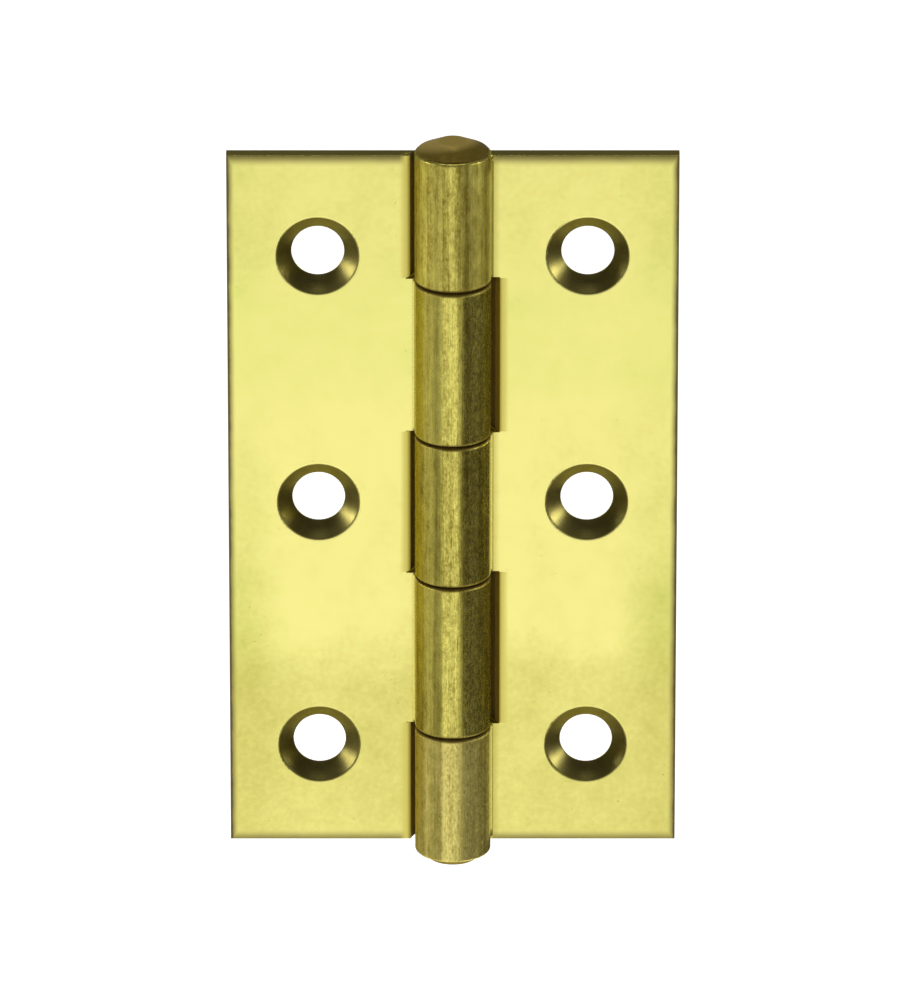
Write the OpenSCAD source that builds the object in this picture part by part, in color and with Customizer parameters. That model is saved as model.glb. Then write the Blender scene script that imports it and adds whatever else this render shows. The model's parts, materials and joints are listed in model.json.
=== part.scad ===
// Five-knuckle brass butt hinge, opened flat.
// The pin stands along Z through the origin. The leaves lie in the XZ plane with their
// countersunk faces towards -Y, the three-knuckle leaf on +X and the two-knuckle leaf on -X.

/* [Leaves] */
// Height of each leaf, along the pin
leaf_height = 76; // [60:1:110]
// Width across both leaves with the hinge opened flat
open_width = 46; // [36:0.5:70]
// Thickness of each leaf
leaf_thickness = 1.8; // [1.6:0.1:2.4]
// Gap between the two countersunk faces when the hinge is closed
closed_gap = 1.4; // [0.8:0.1:2]
// Rounding of the outer edges on the countersunk face, left by buffing
face_edge_radius = 0.5; // [0.2:0.1:1]
// Rounding of the outer edges on the back face
back_edge_radius = 0.2; // [0.1:0.05:0.5]

/* [Knuckles] */
// Outside diameter of the knuckles
knuckle_diameter = 7.8; // [7:0.1:10]
// Length of the knuckle at each end of the barrel
end_knuckle_length = 13.3; // [9:0.1:18]
// Length of the middle knuckle
middle_knuckle_length = 15.6; // [10:0.1:20]
// Free play along the pin between neighbouring knuckles
end_play = 0.2; // [0.1:0.05:0.5]
// Clearance round a knuckle in the slot of the other leaf, which is cut to a curve about the pin
slot_clearance = 0.6; // [0.4:0.05:1]
// Chamfer on each slot's edge at the countersunk face
slot_chamfer = 0.35; // [0.1:0.05:0.6]
// How far the barrel stands above the leaves, at the pin's head
upper_overhang = 0.8; // [0:0.05:1.5]
// How far the barrel stands below the leaves, at the pin's foot
lower_overhang = 0.55; // [0:0.05:1]
// Rounding of the outside edges at the ends of each knuckle
knuckle_edge_radius = 0.25; // [0.1:0.05:0.6]
// Fillet between a knuckle and the countersunk face of its leaf
face_root_radius = 0.3; // [0.1:0.05:0.6]
// Fillet between a knuckle and the back face of its leaf
back_root_radius = 0.7; // [0.2:0.1:1]

/* [Pin] */
// Diameter of the pin
pin_diameter = 4.2; // [3.2:0.1:5]
// Running clearance round the pin, on the radius
pin_clearance = 0.05; // [0.02:0.01:0.1]
// How far the pin's head stops short of the knuckle's outside
head_inset = 0.3; // [0.1:0.05:0.6]
// Height of the straight band round the head
head_band_height = 0.15; // [0.15:0.05:0.6]
// Height of the cone above the band
head_cone_height = 1; // [0.4:0.05:1.6]
// Diameter of the flat on top of the head
head_flat_diameter = 2.9; // [2:0.1:4]
// Rounding between the band and the cone
head_edge_radius = 0.1; // [0.05:0.05:0.25]
// Rounding between the cone and the flat
head_flat_edge_radius = 0.3; // [0.2:0.1:1.2]
// Diameter of the peened foot at the pin's lower end
foot_diameter = 5.6; // [5.4:0.1:6.8]
// Height of the peened foot
foot_height = 0.85; // [0.5:0.05:1.6]
// Rounding of the foot's rim
foot_edge_radius = 0.5; // [0.1:0.05:0.5]

/* [Screw holes] */
// Number of screw holes in each leaf
hole_count = 3; // [2:1:5]
// Diameter of the through holes
hole_diameter = 5.4; // [4.8:0.1:6]
// Diameter of the countersinks at the face
countersink_diameter = 8.4; // [7:0.1:8.8]
// Included angle of the countersinks
countersink_angle = 90; // [82:1:100]
// Rounding of the countersinks' rims, left by buffing
rim_radius = 0.4; // [0.1:0.1:0.6]
// Distance from each end of a leaf to its nearest hole
hole_end_margin = 10.9; // [7:0.1:14]

/* [Hidden] */
$fn = 96;

brass = "#d9cf78";
pin_brass = "#9c8a3c";

// How far cutting shapes run past what they cut
overrun = 1;

half_height = leaf_height / 2;
half_width = open_width / 2;
face_y = closed_gap / 2;
back_y = face_y + leaf_thickness;

knuckle_radius = knuckle_diameter / 2;
bore_radius = pin_diameter / 2 + pin_clearance;
slot_radius = knuckle_radius + slot_clearance;

// Where the barrel is divided, from its lower end to its upper end
barrel_low = -half_height - lower_overhang;
barrel_high = half_height + upper_overhang;
end_seam = half_height - end_knuckle_length;
middle_seam = middle_knuckle_length / 2;
frame_spans = [
    [barrel_low, -end_seam - end_play / 2],
    [-middle_seam + end_play / 2, middle_seam - end_play / 2],
    [end_seam + end_play / 2, barrel_high]
];
door_spans = [
    [-end_seam + end_play / 2, -middle_seam - end_play / 2],
    [middle_seam + end_play / 2, end_seam - end_play / 2]
];

// The holes stand in one line, midway between the slots and the outer edge
hole_line_x = (slot_radius + half_width) / 2;
hole_pitch = (leaf_height - 2 * hole_end_margin) / (hole_count - 1);
countersink_depth = (countersink_diameter - hole_diameter) / 2 / tan(countersink_angle / 2);

// Tangent circles of the root fillets, centred clear of the knuckle and of the leaf's face
face_root_y = face_y - face_root_radius;
face_root_x = sqrt(pow(knuckle_radius + face_root_radius, 2) - pow(face_root_y, 2));
back_root_y = back_y + back_root_radius;
back_root_x = sqrt(pow(knuckle_radius + back_root_radius, 2) - pow(back_root_y, 2));

// Where a slot's chamfer ends on the countersunk face
chamfer_x = sqrt(pow(slot_radius, 2) - pow(face_y, 2)) + slot_chamfer;

head_radius = knuckle_radius - head_inset;
foot_radius = foot_diameter / 2;

// What a rounding takes off a square corner at the origin, with the material on +X and +Y
module corner_waste(radius) {
    difference() {
        translate([-overrun, -overrun])
            square(radius + overrun);
        translate([radius, radius])
            circle(radius);
    }
}

// What a slot takes out of a leaf, as a section: a round about the pin, chamfered at 45 degrees
module slot_waste() {
    circle(slot_radius);
    polygon([
        [0, face_y - overrun],
        [chamfer_x + overrun, face_y - overrun],
        [chamfer_x - overrun, face_y + overrun],
        [0, face_y + overrun]
    ]);
}

// The flat of a leaf, slotted over its whole height, with its outer edge rounded
module plate() {
    translate([0, 0, -half_height])
        linear_extrude(leaf_height)
            difference() {
                translate([0, face_y])
                    square([half_width, leaf_thickness]);
                slot_waste();
                translate([half_width, face_y])
                    mirror([1, 0])
                        corner_waste(face_edge_radius);
                translate([half_width, back_y])
                    rotate(180)
                        corner_waste(back_edge_radius);
            }
}

// A block with the rounded upper and lower edges that both ends of a leaf have
module end_rounding() {
    translate([-overrun, face_y, half_height])
        rotate([0, 90, 0])
            linear_extrude(half_width + 2 * overrun)
                difference() {
                    square([leaf_height, leaf_thickness]);
                    corner_waste(face_edge_radius);
                    translate([leaf_height, 0])
                        mirror([1, 0])
                            corner_waste(face_edge_radius);
                    translate([0, leaf_thickness])
                        mirror([0, 1])
                            corner_waste(back_edge_radius);
                    translate([leaf_height, leaf_thickness])
                        rotate(180)
                            corner_waste(back_edge_radius);
                }
}

// The strap that carries a knuckle, from inside its wall across the slot to the flat of the leaf
module strap(span) {
    translate([0, face_y, span[0]])
        cube([chamfer_x + overrun, leaf_thickness, span[1] - span[0]]);
}

// The fillets between a knuckle and the two faces of its leaf, as a section
module root_fillets() {
    to_face = knuckle_radius / (knuckle_radius + face_root_radius);
    to_back = knuckle_radius / (knuckle_radius + back_root_radius);
    difference() {
        polygon([
            [face_root_x, face_y],
            [face_root_x * to_face, face_root_y * to_face],
            [bore_radius, face_root_y * to_face],
            [bore_radius, back_root_y * to_back],
            [back_root_x * to_back, back_root_y * to_back],
            [back_root_x, back_y],
            [face_root_x, back_y]
        ]);
        translate([face_root_x, face_root_y])
            circle(face_root_radius);
        translate([back_root_x, back_root_y])
            circle(back_root_radius);
    }
}

// One knuckle, solid until the barrel is bored
module knuckle(span) {
    length = span[1] - span[0];
    translate([0, 0, span[0]])
        rotate_extrude()
            difference() {
                square([knuckle_radius, length]);
                translate([knuckle_radius, 0])
                    mirror([1, 0])
                        corner_waste(knuckle_edge_radius);
                translate([knuckle_radius, length])
                    rotate(180)
                        corner_waste(knuckle_edge_radius);
            }
}

// Half the outline of a countersink, going down from y = 0, with its rim rounded
module countersink_section() {
    half_angle = countersink_angle / 2;
    radius = countersink_diameter / 2;
    tangent = rim_radius * tan((90 - half_angle) / 2);
    difference() {
        polygon([
            [0, -overrun],
            [radius + tangent, -overrun],
            [radius + tangent, rim_radius],
            [radius - tangent * sin(half_angle), tangent * cos(half_angle)],
            [hole_diameter / 2, countersink_depth],
            [0, countersink_depth]
        ]);
        translate([radius + tangent, rim_radius])
            circle(rim_radius);
    }
}

// Through holes with their countersinks, in one line down the leaf
module screw_holes() {
    for (i = [0 : hole_count - 1])
        translate([hole_line_x, face_y, -half_height + hole_end_margin + i * hole_pitch])
            rotate([-90, 0, 0]) {
                translate([0, 0, -overrun])
                    cylinder(d = hole_diameter, h = leaf_thickness + 2 * overrun);
                rotate_extrude()
                    countersink_section();
            }
}

// A whole leaf on +X, with a knuckle on each of the given stretches of the pin
module leaf(spans) {
    difference() {
        union() {
            intersection() {
                union() {
                    plate();
                    for (span = spans)
                        strap(span);
                }
                end_rounding();
            }
            for (span = spans) {
                knuckle(span);
                low = max(span[0], -half_height + face_edge_radius);
                high = min(span[1], half_height - face_edge_radius);
                translate([0, 0, low])
                    linear_extrude(high - low)
                        root_fillets();
            }
        }
        translate([0, 0, barrel_low - overrun])
            cylinder(r = bore_radius, h = barrel_high - barrel_low + 2 * overrun);
        screw_holes();
    }
}

module frame_leaf() {
    color(brass)
        leaf(frame_spans);
}

module door_leaf() {
    color(brass)
        mirror([1, 0, 0])
            leaf(door_spans);
}

// Half the outline of the formed head, standing on y = 0
module head_section() {
    flat_radius = head_flat_diameter / 2;
    head_height = head_band_height + head_cone_height;
    cone_angle = atan2(head_cone_height, head_radius - flat_radius);
    edge_x = head_radius - head_edge_radius;
    edge_y = head_band_height - head_edge_radius * tan((90 - cone_angle) / 2);
    flat_edge_x = flat_radius - head_flat_edge_radius * tan(cone_angle / 2);
    flat_edge_y = head_height - head_flat_edge_radius;
    difference() {
        polygon([
            [0, 0],
            [head_radius, 0],
            [head_radius, head_band_height],
            [flat_radius, head_height],
            [0, head_height]
        ]);
        difference() {
            polygon([
                [head_radius, edge_y],
                [head_radius, head_band_height],
                [edge_x + head_edge_radius * sin(cone_angle), edge_y + head_edge_radius * cos(cone_angle)],
                [edge_x, edge_y]
            ]);
            translate([edge_x, edge_y])
                circle(head_edge_radius);
        }
        difference() {
            polygon([
                [flat_edge_x + head_flat_edge_radius * sin(cone_angle),
                    flat_edge_y + head_flat_edge_radius * cos(cone_angle)],
                [flat_radius, head_height],
                [flat_edge_x, head_height],
                [flat_edge_x, flat_edge_y]
            ]);
            translate([flat_edge_x, flat_edge_y])
                circle(head_flat_edge_radius);
        }
    }
}

// Half the outline of the peened foot, hanging from y = 0
module foot_section() {
    difference() {
        translate([0, -foot_height])
            square([foot_radius, foot_height]);
        translate([foot_radius, -foot_height])
            mirror([1, 0])
                corner_waste(foot_edge_radius);
    }
}

module hinge_pin() {
    color(pin_brass)
        rotate_extrude() {
            translate([0, barrel_low])
                square([pin_diameter / 2, barrel_high - barrel_low]);
            translate([0, barrel_high])
                head_section();
            translate([0, barrel_low])
                foot_section();
        }
}

frame_leaf();
door_leaf();
hinge_pin();
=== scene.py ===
import json
import math
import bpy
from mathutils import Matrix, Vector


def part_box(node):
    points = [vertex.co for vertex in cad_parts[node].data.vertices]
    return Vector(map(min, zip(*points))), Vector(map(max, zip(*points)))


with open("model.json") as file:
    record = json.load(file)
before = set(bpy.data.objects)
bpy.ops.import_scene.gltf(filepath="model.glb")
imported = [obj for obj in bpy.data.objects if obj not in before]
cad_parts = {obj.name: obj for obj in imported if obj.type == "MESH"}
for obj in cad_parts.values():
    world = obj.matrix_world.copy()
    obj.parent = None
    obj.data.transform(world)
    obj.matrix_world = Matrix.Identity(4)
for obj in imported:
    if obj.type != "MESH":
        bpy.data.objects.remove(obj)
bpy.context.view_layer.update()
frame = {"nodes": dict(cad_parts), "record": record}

from types import SimpleNamespace

import bpy
from mathutils import Vector

mm = 0.001
scene = bpy.context.scene
scene.view_settings.view_transform = "Standard"

# Places on the hinge, in millimetres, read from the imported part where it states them
mounts = {mount["name"]: mount for mount in frame["record"]["mounts"]}
frameHigh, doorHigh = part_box("frame_leaf")[1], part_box("door_leaf")[1]
hinge = {
    "halfWidth": frameHigh.x / mm,
    "halfHeight": doorHigh.z / mm,
    "barrelRadius": frameHigh.y / mm,
    "back": mounts["frame_leaf_back"]["pos_m"][1] / mm,
    "holeLine": mounts["frame_leaf_screws"]["pos_m"][0] / mm,
    "holePitch": mounts["frame_leaf_screw_pitch"]["dims"]["spacing_y_mm"],
    "sinkRadius": 4.2,     # countersink at the face
    "slotRadius": 4.5,     # slots round the other leaf's knuckles
    "innerSeam": 7.8,      # seams of the barrel, above and below the middle
    "outerSeam": 24.7,
}
print("frame loaded:", ", ".join(sorted(frame["nodes"])))


# Shader maths on sockets

class Wire:
    def __init__(self, tree, socket=None):
        self.tree = tree
        self.socket = socket

    def node(self, kind, settings=None, sockets=None, out=0):
        made = self.tree.nodes.new(kind)
        for name, value in (settings or {}).items():
            setattr(made, name, value)
        for name, value in (sockets or {}).items():
            if isinstance(value, Wire):
                self.tree.links.new(value.socket, made.inputs[name])
            else:
                made.inputs[name].default_value = value
        return Wire(self.tree, made.outputs[out]) if len(made.outputs) else None

    def also(self, name):  # another output of the same node
        return Wire(self.tree, self.socket.node.outputs[name])

    def maths(self, operation, *values):
        return self.node("ShaderNodeMath", {"operation": operation}, dict(enumerate(values)))

    def __add__(self, other):
        return self.maths("ADD", self, other)

    def __radd__(self, other):
        return self.maths("ADD", other, self)

    def __sub__(self, other):
        return self.maths("SUBTRACT", self, other)

    def __rsub__(self, other):
        return self.maths("SUBTRACT", other, self)

    def __mul__(self, other):
        return self.maths("MULTIPLY", self, other)

    def __rmul__(self, other):
        return self.maths("MULTIPLY", other, self)

    def __truediv__(self, other):
        return self.maths("DIVIDE", self, other)

    def __rtruediv__(self, other):
        return self.maths("DIVIDE", other, self)

    def __pow__(self, other):
        return self.maths("POWER", self, other)

    def __rpow__(self, other):
        return self.maths("POWER", other, self)

    def __abs__(self):
        return self.maths("ABSOLUTE", self)

    def least(self, other):
        return self.maths("MINIMUM", self, other)

    def most(self, other):
        return self.maths("MAXIMUM", self, other)

    def ease(self, start, end):  # 0 at start, 1 at end, smooth between
        return self.node("ShaderNodeMapRange", {"interpolation_type": "SMOOTHSTEP"},
                         {"Value": self, "From Min": start, "From Max": end})

    def above(self, level, blur=0.05):  # 0 below a level, 1 above it
        return self.ease(level - blur, level + blur)

    def band(self, rise, fall):  # 1 between two ramps
        return self.ease(*rise) * self.ease(*fall)

    def zones(self, table):  # the sum of ramps given as start, end and amount
        return sum(self.ease(start, end) * amount for start, end, amount in table)


def paint(red, green, blue):  # 0 to 255 as seen on a screen, to Blender's linear colour
    parts = [part / 255 for part in (red, green, blue)]
    linear = [part / 12.92 if part <= 0.04045 else ((part + 0.055) / 1.055) ** 2.4 for part in parts]
    return (*linear, 1)


def mixColour(factor, first, second):
    return factor.node("ShaderNodeMix", {"data_type": "RGBA", "clamp_factor": True},
                       {0: factor, 6: first, 7: second}, out=2)


def grain(place, frequency, detail):  # noise, with its frequency per mm along X, Y and Z
    scaled = place.node("ShaderNodeVectorMath", {"operation": "MULTIPLY"}, {0: place, 1: frequency})
    return place.node("ShaderNodeTexNoise", {}, {
        "Vector": scaled, "Scale": 1.0, "Detail": detail, "Roughness": 0.55}, out="Fac")


def startNodes(owner):
    owner.use_nodes = True
    owner.node_tree.nodes.clear()
    return Wire(owner.node_tree)


def placeInMm(wire):  # position on the piece, which goes with it at any pose
    coords = wire.node("ShaderNodeTexCoord", out="Object")
    return wire.node("ShaderNodeVectorMath", {"operation": "SCALE"}, {0: coords, "Scale": 1 / mm})


# The leaves: buffed faces, drawn knuckles, painted shade in the slots, along the edges and in the
# countersinks.
# Pairs are the start and end of a ramp, in mm or in a share of the noise.
# Grains are a frequency per mm along X, Y and Z, and a level of detail.
leafBrass = {
    "edgeTint": (0.8, 0.7, 0.34, 1),         # of the metal, seen at a slant
    "grimeAndShadeGloss": 0.1,
    "grimeAndShadeRoughness": 0.8,

    # faces
    "face": paint(250, 241, 146),
    "faceDull": paint(198, 190, 92),
    "faceGreen": paint(208, 226, 110),       # the dull parts of the upper half and the outer sides
    "faceRoughness": 0.24,
    "shadeZones": [(8, 15, 0.2), (-13, -21, 0.46)],   # painted shade, up the leaf
    "outerReach": (7, 1),                            # from the sides
    "outerShade": 0.06,
    "outerShadeZones": [(9, -2, 0.26), (-4, -10, 0.3), (-13, -24, -0.48), (18, 26, 0.16)],
    "greenUpper": (4, 14),
    "greenTop": (20, 30),                    # less green from here up
    "greenTopLoss": 0.6,
    "greenSide": (12, 4),
    "greenSideFoot": (-22, -13),
    "greenSideAmount": 0.4,
    "cloud": ((0.09, 0.09, 0.06), 4),
    "cloudDull": 0.45,
    "cloudRoughness": 0.1,
    "mottle": ((0.4, 0.4, 0.4), 5),
    "mottleDull": 0.5,
    "fineMottle": ((1.6, 1.6, 1.6), 3),
    "fineMottleDull": 0.34,
    "specks": ((2.6, 2.6, 2.6), 1),
    "speckShare": (0.735, 0.8),
    "speckDull": 0.5,

    # edges, with painted shade along the rims and on the upper ends
    "rimShade": paint(134, 124, 70),
    "edgeWander": 0.3,                       # how far the mottle moves the edges of the painted rim shade
    "sideRim": (0.85, 0.1),
    "endRim": (1.25, 0),
    # painted shade in the dark dull layer along the sides and ends
    "edgeShade": paint(100, 88, 48),
    "edgeShadeReach": (1.2, 0.8),
    "sideShade": (0.3, 0.12),
    "endShadeReach": (0.12, 0.03),
    "edgeShadeAmount": 0.92,
    "endShade": paint(92, 84, 36),           # painted shade on the upper ends of the leaves
    "upperEnd": (-0.3, -0.1),
    "wornRimRise": (0.02, 0.12),             # worn edges catch the same light as the face
    "wornRimFall": (0.7, 0.5),
    "wornRimDepth": (1.25, 1.1),
    "wornRimAmount": 0.9,

    # slots, with painted shade on their walls and over their rounded edges, measured from the slot's edge or
    # from the pin's axis
    "slotHalo": paint(211, 198, 102),
    "slotHaloReach": (1.1, 0.3),
    "slotBrown": paint(132, 117, 42),
    "slotBrownReach": (0.35, -0.05),
    "frameSlotShift": 0.3,                   # darker further out on the frame leaf
    "slotShade": paint(128, 104, 36),
    "slotShadeReach": (0.1, 0),
    "doorSlotDepth": (0.8, 2.0),             # only deep in the slots of the door leaf
    "slotShadeAmount": 0.95,
    "wornSlotRise": (4.4, 4.46),
    "wornSlotFall": (5.2, 5.0),
    "wornSlotDepth": (1.8, 1.0),

    # roots, where a leaf's own knuckles run into its face: painted shade in the crease and a painted
    # highlight on the strip beside it
    "rootHalo": paint(168, 153, 64),
    "rootHaloReach": (4.5, 3.7),
    "rootHaloAmount": 0.45,
    "frameRootShift": 0.5,
    "rootLineRise": (4.05, 4.15),            # a fine line of painted shade on the frame leaf
    "rootLineFall": (4.35, 4.2),
    "rootLineAmount": 0.5,
    # painted highlight on the strip beside a leaf's own knuckles
    "rootStripHighlight": paint(232, 219, 108),
    "stripRise": (3.3, 3.9),
    "stripFall": (4.12, 4.05),
    "stripDepth": (0.9, 0.7),
    "stripEnds": (0.2, 1.6),
    "doorStripShift": 0.2,
    "topStripLoss": 0.5,
    "stripShine": 0.9,

    # knuckles
    "barrelEdge": (0.35, 0.1),
    "knuckle": paint(230, 220, 114),
    "knucklePale": paint(232, 217, 132),     # the bottom knuckle
    "paleAmount": 0.7,
    "knuckleDark": paint(142, 127, 46),
    "drawnRoughness": 0.26,
    "sandyRoughness": 0.42,                  # the top knuckle, and partly the bottom one
    "bottomSandy": 0.6,
    "streaks": ((1.4, 1.4, 0.02), 3),        # drawn along the barrel
    "streakShare": (0.3, 0.72),
    "streakTarnish": 0.6,
    "lines": ((8, 8, 0.25), 2),
    "lineTarnish": 0.9,
    "speckle": ((5, 5, 2.2), 3),
    "speckleTarnish": 1.3,
    "speckleRoughness": 0.4,
    "blotches": ((1.3, 1.3, 0.7), 3),
    "blotchTarnish": 1.2,
    "topTarnish": 0.25,
    "middleTarnish": 0.16,
    "bottomTarnish": -0.08,
    "scratch": paint(84, 71, 22),
    "scratches": ((5, 5, 0.3), 2),
    "scratchShare": (0.66, 0.76),
    "pits": ((3.5, 3.5, 2.5), 2),
    "pitShare": (0.68, 0.78),
    "scratchAmount": 0.6,
    # bright specks, painted glints
    "paintedGlint": paint(246, 238, 156),
    "paintedGlints": ((6, 6, 4), 2),
    "paintedGlintShare": (0.64, 0.76),
    "paintedGlintAmount": 0.7,
    "fleck": paint(150, 124, 40),            # dull flecks
    "flecks": ((4.5, 4.5, 3), 3),
    "fleckShare": (0.48, 0.64),
    "fleckAmount": 0.16,
    "topRim": (0.4, 0.65),                   # above the leaf's end
    "topRimGrime": 0.5,
    "lineHeight": 0.6,
    "speckleHeight": 0.4,
    "scratchDepth": 0.4,
    "bumpStrength": 0.8,
    "bumpDistance": 0.012,

    # seams
    "seamGrime": paint(84, 64, 16),
    "seamHalf": 0.09,                        # half the width that is darkest
    "topSeamExtra": 0.04,
    "topSeam": (20, 22),
    "seamReach": (0.4, 0.08),
    "seamRoughness": 0.3,
    "seamGrimeAmount": 0.85,

    # countersinks, darker than the face as painted shade in the hollow, with blotches and faint rings left by
    # the tool
    "sinkEdge": (0.1, -0.12),
    "sinkFloor": (-0.04, -0.12),             # keeps them off the back of the leaf
    "sink": paint(146, 138, 78),
    "sinkDark": paint(92, 83, 38),
    "sinkShade": paint(94, 83, 38),
    "sinkShadeAmount": 0.32,
    "sinkRoughness": 0.36,
    "sinkBlotches": ((0.8, 0.8, 0.8), 3),
    "sinkBlotchDark": 0.9,
    "rings": 24,
    "ringWander": ((1.5, 1.5, 1.5), 2),
    "ringWanderAmount": 4,
    "ringDark": 0.06,
    "ringHeight": 0.05,
}


def leafSpots(wire):  # where a point lies on a leaf, and the textures that more than one part uses
    at = SimpleNamespace(place=placeInMm(wire))
    at.x = wire.node("ShaderNodeSeparateXYZ", {}, {0: at.place}, out="X")
    at.y, at.z = at.x.also("Y"), at.x.also("Z")
    at.across, at.along = abs(at.x), abs(at.z)
    at.fromPin = (at.x * at.x + at.y * at.y) ** 0.5
    row = wire.maths("ROUND", at.z / hinge["holePitch"]) * hinge["holePitch"]
    at.fromHole = ((at.across - hinge["holeLine"]) ** 2 + (at.z - row) ** 2) ** 0.5
    at.fromSide, at.fromEnd = hinge["halfWidth"] - at.across, hinge["halfHeight"] - at.along
    at.fromEdge = at.fromSide.least(at.fromEnd)
    at.onFrameLeaf = at.x.above(0, 0.1)
    doorStretch = at.along.above(hinge["innerSeam"]) * (1 - at.along.above(hinge["outerSeam"]))
    at.bySlot = doorStretch * at.onFrameLeaf + (1 - doorStretch) * (1 - at.onFrameLeaf)
    at.fromSlot = at.fromPin - hinge["slotRadius"] - at.onFrameLeaf * leafBrass["frameSlotShift"]
    at.inSink = (at.fromHole - hinge["sinkRadius"]).ease(*leafBrass["sinkEdge"])
    at.inSink = at.inSink * (at.y - hinge["back"]).ease(*leafBrass["sinkFloor"])
    at.inBarrel = (at.fromPin - hinge["barrelRadius"]).ease(*leafBrass["barrelEdge"])
    at.onTop = at.z.above(hinge["outerSeam"])
    at.onBottom = 1 - at.z.above(-hinge["outerSeam"])
    fromSeam = abs(at.along - hinge["innerSeam"]).least(abs(at.along - hinge["outerSeam"]))
    seamHalf = leafBrass["seamHalf"] + at.z.ease(*leafBrass["topSeam"]) * leafBrass["topSeamExtra"]
    at.inSeam = (fromSeam - seamHalf).ease(*leafBrass["seamReach"]) * at.inBarrel
    stripInside = at.across - (1 - at.onFrameLeaf) * leafBrass["doorStripShift"]
    at.onStrip = stripInside.ease(*leafBrass["stripRise"]) * at.across.ease(*leafBrass["stripFall"])
    at.onStrip = at.onStrip * at.y.ease(*leafBrass["stripDepth"]) * at.fromEnd.ease(*leafBrass["stripEnds"])
    at.onStrip = at.onStrip * (1 - at.bySlot) * (1 - at.onTop * leafBrass["topStripLoss"])

    at.cloud = grain(at.place, *leafBrass["cloud"])
    at.mottle = grain(at.place, *leafBrass["mottle"])
    at.wear = (at.mottle - 0.5) * leafBrass["edgeWander"]
    at.line = grain(at.place, *leafBrass["lines"])
    at.speckle = grain(at.place, *leafBrass["speckle"])
    at.scratch = grain(at.place, *leafBrass["scratches"]).ease(*leafBrass["scratchShare"])
    at.scratch = at.scratch + grain(at.place, *leafBrass["pits"]).ease(*leafBrass["pitShare"])
    wander = grain(at.place, *leafBrass["ringWander"]) * leafBrass["ringWanderAmount"]
    at.ring = wire.maths("SINE", at.fromHole * leafBrass["rings"] + wander)
    return at


def faceColour(at):  # cloudy and mottled, with painted shade making it brightest in the middle, duller towards the ends and the outer sides
    # painted shade darkens the face towards the ends and the outer sides
    dull = at.z.zones(leafBrass["shadeZones"])
    outerShade = leafBrass["outerShade"] + at.z.zones(leafBrass["outerShadeZones"])
    dull = dull + at.fromSide.ease(*leafBrass["outerReach"]) * outerShade
    dull = dull + (at.cloud - 0.5) * leafBrass["cloudDull"] + (at.mottle - 0.5) * leafBrass["mottleDull"]
    dull = dull + (grain(at.place, *leafBrass["fineMottle"]) - 0.5) * leafBrass["fineMottleDull"]
    speck = grain(at.place, *leafBrass["specks"]).ease(*leafBrass["speckShare"])
    dull = dull + speck * leafBrass["speckDull"]
    green = at.z.ease(*leafBrass["greenUpper"])
    green = green * (1 - at.z.ease(*leafBrass["greenTop"]) * leafBrass["greenTopLoss"])
    greenSide = at.fromSide.ease(*leafBrass["greenSide"]) * at.z.ease(*leafBrass["greenSideFoot"])
    green = green.most(greenSide * leafBrass["greenSideAmount"])
    dullColour = mixColour(green, leafBrass["faceDull"], leafBrass["faceGreen"])
    colour = mixColour(dull, leafBrass["face"], dullColour)

    # painted shade on the rims, by the slots and at the roots
    rim = (at.fromSide + at.wear).ease(*leafBrass["sideRim"])
    rim = rim.most((at.fromEnd + at.wear).ease(*leafBrass["endRim"]))
    colour = mixColour(rim, colour, leafBrass["rimShade"])
    # painted shade over the rounded edges of the slots
    halo = at.fromSlot.ease(*leafBrass["slotHaloReach"]) * at.bySlot
    brown = at.fromSlot.ease(*leafBrass["slotBrownReach"]) * at.bySlot
    colour = mixColour(halo, colour, leafBrass["slotHalo"])
    colour = mixColour(brown, colour, leafBrass["slotBrown"])
    # painted shade in the crease at the roots
    rootLine = at.across.band(leafBrass["rootLineRise"], leafBrass["rootLineFall"]) * at.onFrameLeaf
    root = (at.fromPin - at.onFrameLeaf * leafBrass["frameRootShift"]).ease(*leafBrass["rootHaloReach"])
    root = (root * leafBrass["rootHaloAmount"]).most(rootLine * leafBrass["rootLineAmount"])
    return mixColour(root * (1 - at.bySlot), colour, leafBrass["rootHalo"])


def knuckleColour(at):  # streaks drawn along the barrel, fine speckle, a few scratches and pits, and bright specks of painted glint
    streak = grain(at.place, *leafBrass["streaks"]).ease(*leafBrass["streakShare"])
    blotch = grain(at.place, *leafBrass["blotches"])
    tarnish = streak * leafBrass["streakTarnish"] + (at.line - 0.5) * leafBrass["lineTarnish"]
    tarnish = tarnish + (at.speckle - 0.5) * leafBrass["speckleTarnish"]
    tarnish = tarnish + (blotch - 0.5) * leafBrass["blotchTarnish"]
    onMiddle = 1 - at.along.above(hinge["innerSeam"])
    tarnish = tarnish + at.onTop * leafBrass["topTarnish"] + onMiddle * leafBrass["middleTarnish"]
    tarnish = tarnish + at.onBottom * leafBrass["bottomTarnish"]
    colour = mixColour(at.onBottom * leafBrass["paleAmount"], leafBrass["knuckle"], leafBrass["knucklePale"])
    colour = mixColour(tarnish, colour, leafBrass["knuckleDark"])
    colour = mixColour(at.scratch * leafBrass["scratchAmount"], colour, leafBrass["scratch"])
    paintedGlint = grain(at.place, *leafBrass["paintedGlints"]).ease(*leafBrass["paintedGlintShare"])
    return mixColour(paintedGlint * leafBrass["paintedGlintAmount"], colour, leafBrass["paintedGlint"])


# painted shade: a dark base colour in the hollow, blotched and ringed by the tool
def sinkColour(at):
    blotch = grain(at.place, *leafBrass["sinkBlotches"])
    dark = at.ring * leafBrass["ringDark"] + blotch * leafBrass["sinkBlotchDark"]
    return mixColour(dark, leafBrass["sink"], leafBrass["sinkDark"])


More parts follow.
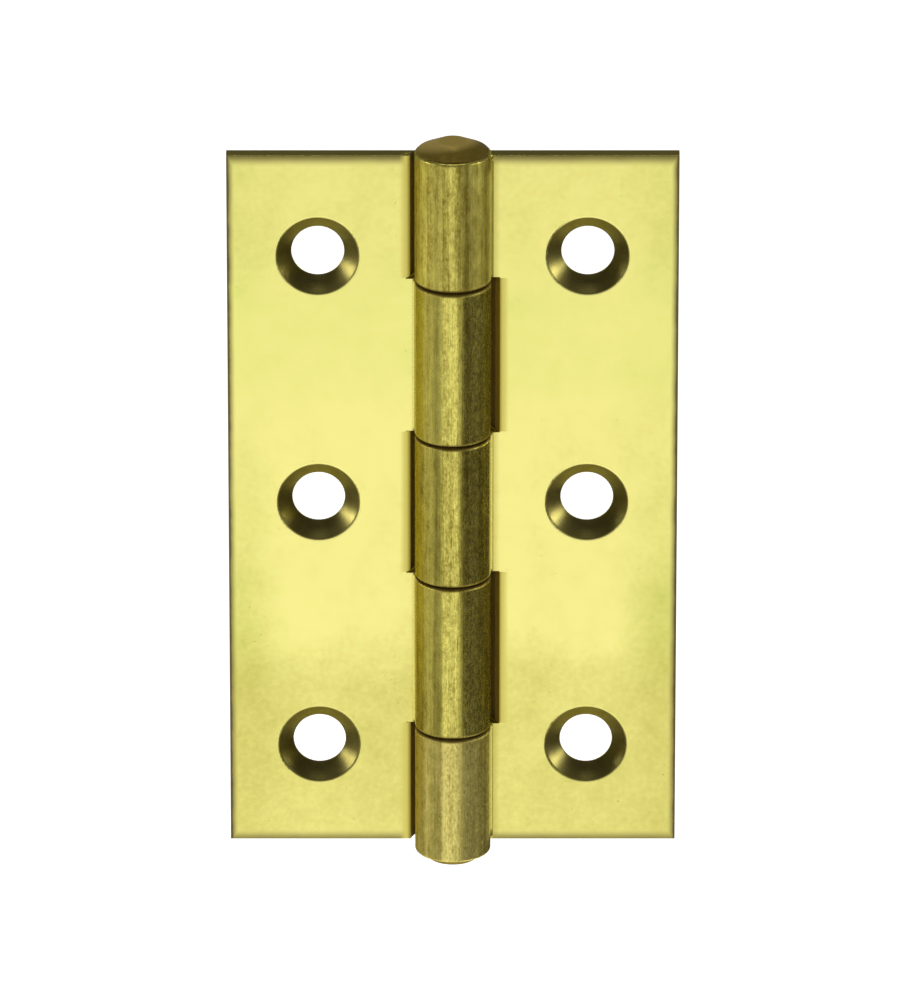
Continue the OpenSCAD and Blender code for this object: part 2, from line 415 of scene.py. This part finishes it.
def leafRoughness(at):
    sandy = at.onTop + at.onBottom * leafBrass["bottomSandy"]
    drawn = leafBrass["drawnRoughness"] + sandy * (leafBrass["sandyRoughness"] - leafBrass["drawnRoughness"])
    drawn = drawn + (at.speckle - 0.5) * leafBrass["speckleRoughness"]
    roughness = leafBrass["faceRoughness"] + (at.cloud - 0.5) * leafBrass["cloudRoughness"]
    roughness = roughness + at.inBarrel * (drawn - roughness)
    roughness = roughness + at.inSink * (leafBrass["sinkRoughness"] - roughness)
    return roughness + at.inSeam * leafBrass["seamRoughness"]


def leafNormal(wire, at):
    height = at.line * leafBrass["lineHeight"] + at.speckle * leafBrass["speckleHeight"]
    height = at.inBarrel * (height - at.scratch * leafBrass["scratchDepth"])
    height = height + at.inSink * at.ring * leafBrass["ringHeight"]
    # worn edges and the strips beside the knuckles turn to the front like the face
    wornSlot = at.fromPin.band(leafBrass["wornSlotRise"], leafBrass["wornSlotFall"])
    wornSlot = wornSlot * at.y.ease(*leafBrass["wornSlotDepth"]) * at.bySlot
    wornRim = at.fromEdge.band(leafBrass["wornRimRise"], leafBrass["wornRimFall"])
    wornRim = wornRim * at.y.ease(*leafBrass["wornRimDepth"]) * (1 - at.inBarrel) * leafBrass["wornRimAmount"]
    worn = wornSlot.most(wornRim).most(at.onStrip * leafBrass["stripShine"])
    ownNormal = wire.node("ShaderNodeNewGeometry", out="Normal")
    front = wire.node("ShaderNodeVectorTransform", {
        "vector_type": "NORMAL", "convert_from": "OBJECT", "convert_to": "WORLD"}, {0: (0, -1, 0)})
    normal = wire.node("ShaderNodeMix", {"data_type": "VECTOR"}, {0: worn, 4: ownNormal, 5: front}, out=1)
    return wire.node("ShaderNodeBump", {}, {
        "Strength": leafBrass["bumpStrength"], "Distance": leafBrass["bumpDistance"] * mm,
        "Height": height, "Normal": normal})


# the dark dull layer: grime in the seams and on the barrel, painted shade in the slots, along the edges and
# in the countersinks
def leafGrimeAndShadeColour(at):
    colour = mixColour(at.inBarrel, leafBrass["slotShade"], leafBrass["fleck"])
    colour = mixColour(at.inSeam, colour, leafBrass["seamGrime"])
    colour = mixColour(at.inSink, colour, leafBrass["sinkShade"])
    # painted shade along the edges and on the upper ends
    colour = mixColour(at.fromEdge.ease(*leafBrass["edgeShadeReach"]), colour, leafBrass["edgeShade"])
    pastEnd = at.z - hinge["halfHeight"]
    return mixColour(pastEnd.ease(*leafBrass["upperEnd"]), colour, leafBrass["endShade"])


def leafGrimeAndShadeAmount(at):  # painted shade in the slots, along the edges and in the countersinks; grime in the seams, flecks on the barrel
    # painted shade on the slot walls
    inSlot = at.fromSlot.ease(*leafBrass["slotShadeReach"]) * at.bySlot * (1 - at.inBarrel)
    inSlot = inSlot * at.onFrameLeaf.most(at.y.ease(*leafBrass["doorSlotDepth"]))
    # painted shade along the sides and ends
    onEdge = (at.fromSide + at.wear).ease(*leafBrass["sideShade"])
    onEdge = onEdge.most(at.fromEnd.ease(*leafBrass["endShadeReach"])) * (1 - at.inBarrel)
    flecks = grain(at.place, *leafBrass["flecks"]).ease(*leafBrass["fleckShare"]) * at.inBarrel
    topRim = (at.z - hinge["halfHeight"]).ease(*leafBrass["topRim"]) * at.inBarrel
    amount = (inSlot * leafBrass["slotShadeAmount"]).most(onEdge * leafBrass["edgeShadeAmount"])
    amount = amount.most(at.inSeam * leafBrass["seamGrimeAmount"])
    amount = amount.most(at.inSink * leafBrass["sinkShadeAmount"])
    return amount.most(flecks * leafBrass["fleckAmount"]).most(topRim * leafBrass["topRimGrime"])


def leafMaterial():
    material = bpy.data.materials.new("leafBrass")
    wire = startNodes(material)
    at = leafSpots(wire)
    colour = mixColour(at.inBarrel, faceColour(at), knuckleColour(at))
    # painted highlight on the strips beside the knuckles
    colour = mixColour(at.onStrip, colour, leafBrass["rootStripHighlight"])
    colour = mixColour(at.inSink, colour, sinkColour(at))
    metal = wire.node("ShaderNodeBsdfPrincipled", {}, {
        "Base Color": colour, "Metallic": 1.0, "Roughness": leafRoughness(at),
        "Specular Tint": leafBrass["edgeTint"], "Normal": leafNormal(wire, at)})
    grimeAndShade = wire.node("ShaderNodeBsdfPrincipled", {}, {
        "Base Color": leafGrimeAndShadeColour(at), "Roughness": leafBrass["grimeAndShadeRoughness"],
        "Specular IOR Level": leafBrass["grimeAndShadeGloss"]})
    shader = wire.node("ShaderNodeMixShader", {}, {0: leafGrimeAndShadeAmount(at), 1: metal, 2: grimeAndShade})
    wire.node("ShaderNodeOutputMaterial", {}, {"Surface": shader})
    return material


# The pin: its head and foot, browner and duller than the leaves, with painted shade round the base of the
# head
pinBrass = {
    "bright": paint(158, 137, 66),
    "dark": paint(128, 112, 44),
    "mottle": ((1.2, 1.2, 1.2), 4),
    "mottleShare": (0.3, 0.7),
    "roughness": 0.58,
    "mottleRoughness": 0.2,
    "speckle": ((10, 10, 10), 2),
    "bumpStrength": 0.5,
    "bumpDistance": 0.01,
    "flatGrime": paint(158, 138, 66),    # in the middle of the head
    "flatReach": (2.1, 0.7),             # from the pin's axis
    "coneGrime": paint(156, 136, 74),
    "baseShade": paint(84, 70, 18),      # painted shade where the head meets the knuckle
    "baseReach": (1.7, 3.6),
    "baseToFront": 0.4,                  # the painted shade reaches wider at the front and the right, away from the light
    "baseToRight": 0.25,
    "headGrimeAmount": 0.5,
    "mottleGrimeAmount": 0.35,
    "baseShadeAmount": 0.2,
    "footGrimeAmount": 0.2,
    "grimeAndShadeGloss": 0.1,
    "grimeAndShadeRoughness": 0.8,
}


def pinMaterial():
    material = bpy.data.materials.new("pinBrass")
    wire = startNodes(material)
    place = placeInMm(wire)
    x = wire.node("ShaderNodeSeparateXYZ", {}, {0: place}, out="X")
    y, z = x.also("Y"), x.also("Z")
    fromAxis = (x * x + y * y) ** 0.5
    mottle = grain(place, *pinBrass["mottle"])
    colour = mixColour(mottle.ease(*pinBrass["mottleShare"]), pinBrass["bright"], pinBrass["dark"])
    bump = wire.node("ShaderNodeBump", {}, {
        "Strength": pinBrass["bumpStrength"], "Distance": pinBrass["bumpDistance"] * mm,
        "Height": grain(place, *pinBrass["speckle"])})
    metal = wire.node("ShaderNodeBsdfPrincipled", {}, {
        "Base Color": colour, "Metallic": 1.0, "Normal": bump,
        "Roughness": pinBrass["roughness"] + (mottle - 0.5) * pinBrass["mottleRoughness"]})

    onHead = z.ease(0, 1)   # the upper half of the pin
    leaning = fromAxis - y * pinBrass["baseToFront"] + x * pinBrass["baseToRight"]
    # painted shade round the base of the head
    atBase = leaning.ease(*pinBrass["baseReach"]) * onHead
    onFlat = fromAxis.ease(*pinBrass["flatReach"]) * onHead
    dirt = mixColour(onFlat, pinBrass["coneGrime"], pinBrass["flatGrime"])
    dirt = mixColour(atBase, dirt, pinBrass["baseShade"])
    grimeAndShade = wire.node("ShaderNodeBsdfPrincipled", {}, {
        "Base Color": dirt, "Roughness": pinBrass["grimeAndShadeRoughness"],
        "Specular IOR Level": pinBrass["grimeAndShadeGloss"]})
    headAmount = pinBrass["headGrimeAmount"] + mottle * pinBrass["mottleGrimeAmount"]
    headAmount = headAmount + atBase * pinBrass["baseShadeAmount"]
    amount = onHead * headAmount + (1 - onHead) * pinBrass["footGrimeAmount"]
    shader = wire.node("ShaderNodeMixShader", {}, {0: amount, 1: metal, 2: grimeAndShade})
    wire.node("ShaderNodeOutputMaterial", {}, {"Surface": shader})
    return material


leafFinish = leafMaterial()
for name, finish in {"frame_leaf": leafFinish, "door_leaf": leafFinish, "hinge_pin": pinMaterial()}.items():
    frame["nodes"][name].material_slots[0].material = finish
print("brass set on the leaves and the pin")


# Floor, sky, lamps and cards
studio = {
    "floorDrop": 0.25,
    "floorSize": 9.0,
    "floorColour": paint(232, 232, 230),
    "backdropGlow": 0.75,   # white added where the camera sees the floor
    "floorGlow": 0.545,     # and where the metal mirrors it
    "horizon": 0.85,
    "sky": 0.14,
    "skyRamp": (0.25, 0.03),
    "cardReach": 0.3,
    "cardTop": -0.01,
    "cardSteps": 12,
    "cards": {              # bearings from the front in degrees, level and tint
        "rightEdge": (17, 28, 0.46, (1, 0.95, 0.75, 1)),
        "rightFlag": (28, 160, 0.05, (1, 0.88, 0.6, 1)),
        "leftGrey": (-64, -32, 0.33, (1, 0.96, 0.8, 1)),
        "leftLight": (-100, -64, 0.5, (1, 0.95, 0.75, 1)),
        "leftBackGrey": (-160, -100, 0.3, (1, 0.95, 0.7, 1)),
    },
    "lamps": {              # place, size and watts
        "leftLamp": ((-0.97, -0.19, 0.17), 0.26, 4.5),
        "rightLamp": ((0.97, -0.19, 0.17), 0.26, 4.5),
        "topLamp": ((0, 0, 1.6), 0.4, 10),
    },
}


def addFloor():
    material = bpy.data.materials.new("paleFloor")
    wire = startNodes(material)
    lit = wire.node("ShaderNodeBsdfDiffuse", {}, {"Color": studio["floorColour"]})
    seen = wire.node("ShaderNodeLightPath", out="Is Camera Ray")
    level = seen * studio["backdropGlow"] + seen.also("Is Glossy Ray") * studio["floorGlow"]
    glow = wire.node("ShaderNodeEmission", {}, {"Color": level, "Strength": 1.0})
    shader = wire.node("ShaderNodeAddShader", {}, {0: lit, 1: glow})
    wire.node("ShaderNodeOutputMaterial", {}, {"Surface": shader})
    bpy.ops.mesh.primitive_plane_add(size=studio["floorSize"], location=(0, 0, -studio["floorDrop"]))
    floor = bpy.context.object
    floor.name = "floor"
    floor.data.materials.append(material)


def addSky():
    world = bpy.data.worlds.new("studio")
    wire = startNodes(world)
    scene.world = world
    direction = wire.node("ShaderNodeTexCoord", out="Generated")
    up = wire.node("ShaderNodeSeparateXYZ", {}, {0: direction}, out="Z")
    level = up.ease(*studio["skyRamp"]) * (studio["horizon"] - studio["sky"]) + studio["sky"]
    glow = wire.node("ShaderNodeBackground", {}, {"Color": level, "Strength": 1.0})
    wire.node("ShaderNodeOutputWorld", {}, {"Surface": glow})


def addCard(name, start, end, level, tint):  # an upright card between two bearings, seen only in the metal
    material = bpy.data.materials.new(name)
    wire = startNodes(material)
    shader = wire.node("ShaderNodeEmission", {}, {"Color": tint, "Strength": level})
    wire.node("ShaderNodeOutputMaterial", {}, {"Surface": shader})
    reach, low, high = studio["cardReach"], -studio["floorDrop"], studio["cardTop"]
    steps = studio["cardSteps"]
    bearings = [math.radians(start + (end - start) * i / steps) for i in range(steps + 1)]
    ring = [(reach * math.sin(bearing), -reach * math.cos(bearing)) for bearing in bearings]
    corners = [(*spot, low) for spot in ring] + [(*spot, high) for spot in ring]
    faces = [(i, i + 1, i + steps + 2, i + steps + 1) for i in range(steps)]
    mesh = bpy.data.meshes.new(name)
    mesh.from_pydata(corners, [], faces)
    mesh.materials.append(material)
    card = bpy.data.objects.new(name, mesh)
    scene.collection.objects.link(card)
    card.visible_camera = False
    card.visible_shadow = False
    card.visible_diffuse = False


def addLamp(name, place, size, watts):  # turned to the middle of the hinge
    lamp = bpy.data.lights.new(name, "AREA")
    lamp.size = size
    lamp.energy = watts
    holder = bpy.data.objects.new(name, lamp)
    holder.location = place
    holder.rotation_euler = (-Vector(place)).to_track_quat("-Z", "Y").to_euler()
    scene.collection.objects.link(holder)


addFloor()
addSky()
for name, setting in studio["cards"].items():
    addCard(name, *setting)
for name, setting in studio["lamps"].items():
    addLamp(name, *setting)
print("studio set")


# Camera at the photograph's angle
view = {
    "distance": 1.3,
    "elevation": math.radians(22.7),
    "pixelsPerMm": 9.761,
    "imageHeight": 1000,
    "originShift": (2.8, 4.5),   # pixels from the middle of the image to the pin's middle, right and down
    "sensor": 36,
    "farthest": 20,
}


def addCamera():
    camera = bpy.data.cameras.new("camera")
    camera.sensor_width = view["sensor"]
    camera.lens = view["pixelsPerMm"] * view["distance"] / mm / view["imageHeight"] * view["sensor"]
    camera.clip_end = view["farthest"]
    holder = bpy.data.objects.new("camera", camera)
    right, down = (pixels / view["pixelsPerMm"] * mm for pixels in view["originShift"])
    slope, rise = math.cos(view["elevation"]), math.sin(view["elevation"])
    aim = Vector((-right, down * rise, down * slope))
    holder.location = aim + view["distance"] * Vector((0, -slope, rise))
    holder.rotation_euler = (math.pi / 2 - view["elevation"], 0, 0)
    scene.collection.objects.link(holder)
    scene.camera = holder


addCamera()
print("camera set")
